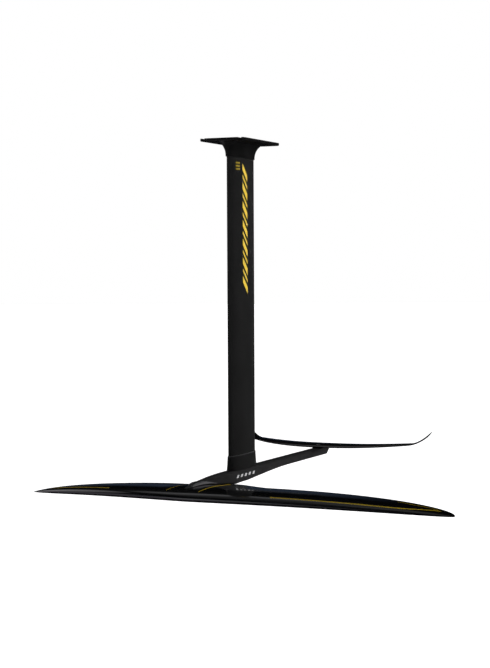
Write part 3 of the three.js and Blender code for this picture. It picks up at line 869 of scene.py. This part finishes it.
MAST_GRAPHIC_TOP = -52
MAST_GRAPHIC_SPAN = (-8, 19)
MAST_BAR_FALL, MAST_BAR_GAP = 26, 10.4
MAST_BARS = (15, 7) * 6 + (15,)

TILE_SPAN, TILE_TOPS, TILE_BAR_HEIGHT = (-42, -22), (-50, -57, -64), 3.6

DASHES, DASH_SPAN = 5, (-60, 26)
DASH_LENGTH, DASH_LEAN, DASH_LOW, DASH_HIGH = 10, 4.4, -767.4, -761

# The line behind the leading edge on each side: side, where it starts, inset from the edge, width.
EDGE_LINES = ((1, 188, 11, 4.6), (-1, 205, 14, 3.0))
EDGE_LINE_END, EDGE_LINE_TURN, EDGE_LINE_RUN = 491, 400, 100
EDGE_LINE_BACK, EDGE_LINE_POWER = 44, 2.5
SPINE_KNOTS = ((38.5, 20), (38.2, 60), (38, 100), (35.5, 137), (29, 178), (21, 220))
SPINE_WIDTH, TRAILING_WIDTH = 1.8, 2.4
TRAILING_SPAN, TRAILING_PLACE = (390, 482), (0.74, 0.66)


def film(name, mat, patches):
    """Thin closed strips: each patch is a grid of (outer point, inner point) pairs."""
    verts, faces = [], []
    for grid in patches:
        base, rows, columns = len(verts), len(grid), len(grid[0])
        verts += [pair[0] for row in grid for pair in row]
        verts += [pair[1] for row in grid for pair in row]
        deep = rows * columns
        for r in range(rows - 1):
            for c in range(columns - 1):
                a = base + r * columns + c
                faces.append((a, a + 1, a + columns + 1, a + columns))
                faces.append((deep + a, deep + a + columns, deep + a + columns + 1, deep + a + 1))
        edge = [(0, c) for c in range(columns)] + [(r, columns - 1) for r in range(1, rows)]
        edge += [(rows - 1, c) for c in range(columns - 2, -1, -1)] + [(r, 0) for r in range(rows - 2, 0, -1)]
        loop = [base + r * columns + c for r, c in edge]
        for i, a in enumerate(loop):
            b = loop[(i + 1) % len(loop)]
            faces.append((a, deep + a, deep + b, b))
    obj = new_object(name, verts, faces, [mat])
    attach(obj, "root")
    return obj


def on_mast(y, z):
    """Outer and inner point of a film on the mast's port face."""
    x = mast_half(y)
    return (x + FILM_LIFT, y, z), (x - FILM_SINK, y, z)


def mast_bar(front, rear, top, height, fall, columns=9):
    """A bar on the mast's port face that falls from its front end to its rear end."""
    grid = []
    for drop in (0, height):
        grid.append([
            on_mast(lerp(front, rear, c / (columns - 1)), top - drop - fall * c / (columns - 1))
            for c in range(columns)
        ])
    return grid


def mast_graphics():
    """A plain row of slanted bars down the mast, and a small plain tile beside its top end."""
    bars = []
    top = MAST_GRAPHIC_TOP
    for height in MAST_BARS:
        bars.append(mast_bar(*MAST_GRAPHIC_SPAN, top, height, MAST_BAR_FALL))
        top -= height + MAST_BAR_GAP
    film("mast_bars", YELLOW, bars)
    tile = [mast_bar(*TILE_SPAN, z, TILE_BAR_HEIGHT, 0) for z in TILE_TOPS]
    film("mast_tile", DIM_GOLD, tile)


def fuselage_graphics():
    """A row of plain slanted dashes on the fuselage's port side."""
    dashes = []
    first, last = DASH_SPAN
    for i in range(DASHES):
        y = lerp(first, last, i / (DASHES - 1))
        grid = []
        for z, shift in ((DASH_LOW, 0), (DASH_HIGH, DASH_LEAN)):
            row = []
            for c in range(3):
                at = y + shift + c * DASH_LENGTH / 2
                x = fuselage_half(at)
                row.append(((x + FILM_LIFT, at, z), (x - FILM_SINK, at, z)))
            grid.append(row)
        dashes.append(grid)
    film("fuselage_dashes", WHITE, dashes)


def wing_ribbon(wing, path, width):
    """A ribbon on the wing's top along (x, back) points, where back is mm behind the leading edge."""
    grid = []
    for i, (x, back) in enumerate(path):
        ahead = path[min(i + 1, len(path) - 1)]
        behind = path[max(i - 1, 0)]
        dx = ahead[0] - behind[0]
        dy = wing_point(wing, *ahead, 1)[1] - wing_point(wing, *behind, 1)[1]
        length = math.hypot(dx, dy)
        row = []
        for half in (-width / 2, 0, width / 2):
            across_x = x - dy / length * half
            y = wing_point(wing, x, back, 1)[1] + dx / length * half
            at = station(wing, min(NEAR_TIP, abs(across_x) / wing["half_span"]))
            offset = clamp(y - at["y"], 0, at["chord"])
            row.append((
                wing_point(wing, across_x, offset, 1, FILM_LIFT),
                wing_point(wing, across_x, offset, 1, -FILM_SINK),
            ))
        grid.append(row)
    return grid


def spine_path():
    """The line that runs back from the leading edge beside the fuselage, as (x, back) points."""
    path = []
    for (x0, back0), (x1, back1) in zip(SPINE_KNOTS, SPINE_KNOTS[1:]):
        path += [(lerp(x0, x1, i / 4), lerp(back0, back1, i / 4)) for i in range(4)]
    return path + [SPINE_KNOTS[-1]]


def edge_path(start, inset, steps=60):
    """The line behind the leading edge, which leaves it towards the tip."""
    path = []
    for i in range(steps + 1):
        x = lerp(start, EDGE_LINE_END, i / steps)
        out = clamp((x - EDGE_LINE_TURN) / EDGE_LINE_RUN)
        path.append((x, inset + EDGE_LINE_BACK * out**EDGE_LINE_POWER))
    return path


def trailing_path(steps=24):
    """A shorter line ahead of the trailing edge near the tip."""
    path = []
    for i in range(steps + 1):
        x = lerp(*TRAILING_SPAN, i / steps)
        chord = station(WING, x / WING["half_span"])["chord"]
        path.append((x, chord * lerp(*TRAILING_PLACE, i / steps)))
    return path


def wing_graphics():
    """Plain gold lines on the front wing's top."""
    lines = [(side, edge_path(start, inset), width) for side, start, inset, width in EDGE_LINES]
    lines += [(side, spine_path(), SPINE_WIDTH) for side in (-1, 1)]
    lines += [(side, trailing_path(), TRAILING_WIDTH) for side in (-1, 1)]
    ribbons = []
    for side, path, width in lines:
        ribbons.append(wing_ribbon(WING, [(side * x, back) for x, back in path], width))
    film("wing_lines", GOLD, ribbons)


# ---------------------------------------------------------------- studio, metres and degrees

CAMERA_TURN, CAMERA_ROLL = 24.6, -0.28
CAMERA_DISTANCE, CAMERA_ASIDE, CAMERA_HEIGHT = 3.745, -0.00815, -0.302
IMAGE_HEIGHT, FOCAL_LENGTH, CAMERA_DROP, SENSOR = 668, 1630, 61, 36
FLOOR_RADIUS, FLOOR_DEPTH, FLOOR_THICKNESS, DOME_RADIUS = 30.0, 0.12, 0.01, 38.0

# Softboxes round the object, as they are mirrored in its gloss:
# azimuth, elevation, angle where each is full, angle where it ends, radiance.
SOFTBOXES = (
    (0, 90, 44, 54, (0.20, 0.20, 0.20)),
    (-18, 57, 16, 25, (0.22, 0.22, 0.23)),
    (-60, 3, 18, 32, (0.72, 0.70, 0.73)),
    (116, 50, 10, 30, (0.35, 0.35, 0.35)),
    (180, 10, 20, 60, (0.10, 0.10, 0.10)),
    (-30, -66, 8, 20, (0.40, 0.40, 0.42)),
    (-38, -42, 10, 28, (0.14, 0.13, 0.15)),
)
HORIZON_GLOW = (0.022, 0.030, 0.047)
# Heights (sines of elevation) and angles off its middle where the glow is gone and where it is full.
GLOW_ABOVE, GLOW_BELOW, GLOW_ANGLES, GLOW_AZIMUTH = (0.13, -0.01), (-0.12, -0.03), (11, 4), -3.5

def backdrop_material():
    """Plain white light from the backdrop."""
    mat = bpy.data.materials.new("backdrop_white")
    mat.use_nodes = True
    tree = mat.node_tree
    tree.nodes.clear()
    emission = tree.nodes.new("ShaderNodeEmission")
    emission.inputs["Color"].default_value = (1, 1, 1, 1)
    tree.links.new(emission.outputs[0], tree.nodes.new("ShaderNodeOutputMaterial").inputs["Surface"])
    return mat


def floor_material():
    """A pale, matt, evenly lit floor."""
    m = Maker("floor_white")
    m.wire("Base Color", m.ramp(m.noise(0.6, 2.0), (0.3, (0.86, 0.86, 0.86)), (0.7, (0.88, 0.88, 0.88))))
    m.set(Roughness=0.9, Emission_Color=(1, 1, 1, 1), Emission_Strength=1.0, Specular_IOR_Level=0.0)
    return m.material


def dome_rings(steps):
    """Rings of a wide sphere round the whole studio."""
    rings = []
    for i in range(1, steps):
        turn = math.pi * i / steps
        radius, height = DOME_RADIUS * math.sin(turn), DOME_RADIUS * math.cos(turn)
        rings.append(circle(radius / MM, height / MM, segments=64))
    return rings


def studio():
    """A pale floor under the object and a white backdrop that only the camera sees."""
    top = cad_box[0].z - FLOOR_DEPTH
    discs = [circle(FLOOR_RADIUS / MM, z / MM, segments=96) for z in (top - FLOOR_THICKNESS, top)]
    verts, faces = loft_data(discs)
    floor = new_object("floor", verts, faces, [floor_material()])
    verts, faces = loft_data(dome_rings(24))
    dome = new_object("backdrop", verts, faces, [backdrop_material()])
    for flag in ("visible_diffuse", "visible_glossy", "visible_transmission", "visible_shadow"):
        setattr(dome, flag, False)
    floor.visible_glossy = False

    surroundings()
    key_light("key", azimuth=43, elevation=2, strength=9.2, angle=20)


def level_axes():
    """The camera's level directions: rightwards and away from it."""
    turn = math.radians(CAMERA_TURN)
    return Vector((math.cos(turn), math.sin(turn), 0)), Vector((-math.sin(turn), math.cos(turn), 0))


def aim(azimuth, elevation):
    """Unit vector from the object, with azimuth measured rightwards from straight behind it."""
    a, e = math.radians(azimuth), math.radians(elevation)
    right, ahead = level_axes()
    return math.cos(e) * (math.sin(a) * right + math.cos(a) * ahead) + Vector((0, 0, math.sin(e)))


def key_light(name, azimuth, elevation, strength, angle):
    """A wide soft key that lights matt surfaces, and isn't mirrored in the gloss."""
    data = bpy.data.lights.new(name, "SUN")
    data.energy = strength
    data.angle = math.radians(angle)
    obj = bpy.data.objects.new(name, data)
    bpy.context.scene.collection.objects.link(obj)
    obj.rotation_euler = aim(azimuth, elevation).to_track_quat("Z", "Y").to_euler()
    obj.visible_glossy = False


class Sky:
    """World light that depends only on direction, as a sum of smooth patches."""

    def __init__(self):
        world = bpy.data.worlds.new("studio")
        bpy.context.scene.world = world
        world.use_nodes = True
        self.tree = world.node_tree
        self.direction = self.tree.nodes.new("ShaderNodeTexCoord").outputs["Generated"]
        self.total = None

    def add(self, kind, **settings):
        made = self.tree.nodes.new("ShaderNode" + kind)
        for name, value in settings.items():
            setattr(made, name, value)
        return made

    def facing(self, axis):
        """Cosine of the angle off the axis."""
        dot = self.add("VectorMath", operation="DOT_PRODUCT")
        self.tree.links.new(self.direction, dot.inputs[0])
        dot.inputs[1].default_value = axis
        return dot.outputs["Value"]

    def fade(self, value, start, full):
        made = self.add("MapRange", interpolation_type="SMOOTHSTEP")
        self.tree.links.new(value, made.inputs["Value"])
        made.inputs["From Min"].default_value = start
        made.inputs["From Max"].default_value = full
        return made.outputs["Result"]

    def cone(self, azimuth, elevation, full, end):
        """1 within `full` degrees of a direction, fading to 0 at `end` degrees."""
        cosines = math.cos(math.radians(end)), math.cos(math.radians(full))
        return self.fade(self.facing(aim(azimuth, elevation)), *cosines)

    def patch(self, colour, *factors):
        """Adds a colour scaled by the factors to the light so far."""
        made = None
        for factor in factors:
            step = self.add("VectorMath", operation="SCALE")
            if made is None:
                step.inputs[0].default_value = colour
            else:
                self.tree.links.new(made, step.inputs[0])
            self.tree.links.new(factor, step.inputs["Scale"])
            made = step.outputs[0]
        if self.total is not None:
            both = self.add("VectorMath", operation="ADD")
            self.tree.links.new(self.total, both.inputs[0])
            self.tree.links.new(made, both.inputs[1])
            made = both.outputs[0]
        self.total = made

    def finish(self):
        self.tree.links.new(self.total, self.tree.nodes["Background"].inputs["Color"])


def surroundings():
    """Light from the softboxes, and a faint navy glow along the far horizon."""
    sky = Sky()
    for azimuth, elevation, full, end, radiance in SOFTBOXES:
        sky.patch(radiance, sky.cone(azimuth, elevation, full, end))
    height = sky.facing((0, 0, 1))
    end, full = GLOW_ANGLES
    above, below = sky.fade(height, *GLOW_ABOVE), sky.fade(height, *GLOW_BELOW)
    sky.patch(HORIZON_GLOW, above, below, sky.cone(GLOW_AZIMUTH, 0, full, end))
    sky.finish()


def camera():
    """The camera stands 3.7 m away, 25 degrees round from the bow, a little above the mast's middle."""
    pitch, roll = math.atan(CAMERA_DROP / FOCAL_LENGTH), math.radians(CAMERA_ROLL)
    right, ahead = level_axes()
    up = Vector((0, 0, 1))
    data = bpy.data.cameras.new("camera")
    data.lens = FOCAL_LENGTH / IMAGE_HEIGHT * SENSOR
    data.sensor_width = SENSOR
    data.clip_end = 200
    obj = bpy.data.objects.new("camera", data)
    bpy.context.scene.collection.objects.link(obj)
    look = ahead * math.cos(pitch) - up * math.sin(pitch)
    lift = up * math.cos(pitch) + ahead * math.sin(pitch)
    x_axis = right * math.cos(roll) + lift * math.sin(roll)
    y_axis = lift * math.cos(roll) - right * math.sin(roll)
    place = -CAMERA_ASIDE * right - CAMERA_DISTANCE * ahead + CAMERA_HEIGHT * up
    obj.matrix_world = Matrix((
        (x_axis.x, y_axis.x, -look.x, place.x),
        (x_axis.y, y_axis.y, -look.y, place.y),
        (x_axis.z, y_axis.z, -look.z, place.z),
        (0, 0, 0, 1),
    ))
    bpy.context.scene.camera = obj


mast_plate()
mast()
collar()
fuselage()
front_wing()
rear_stabilizer()
screws()
finish_inserts()
mast_graphics()
fuselage_graphics()
wing_graphics()
studio()
camera()
bpy.context.scene.view_settings.view_transform = "Standard"
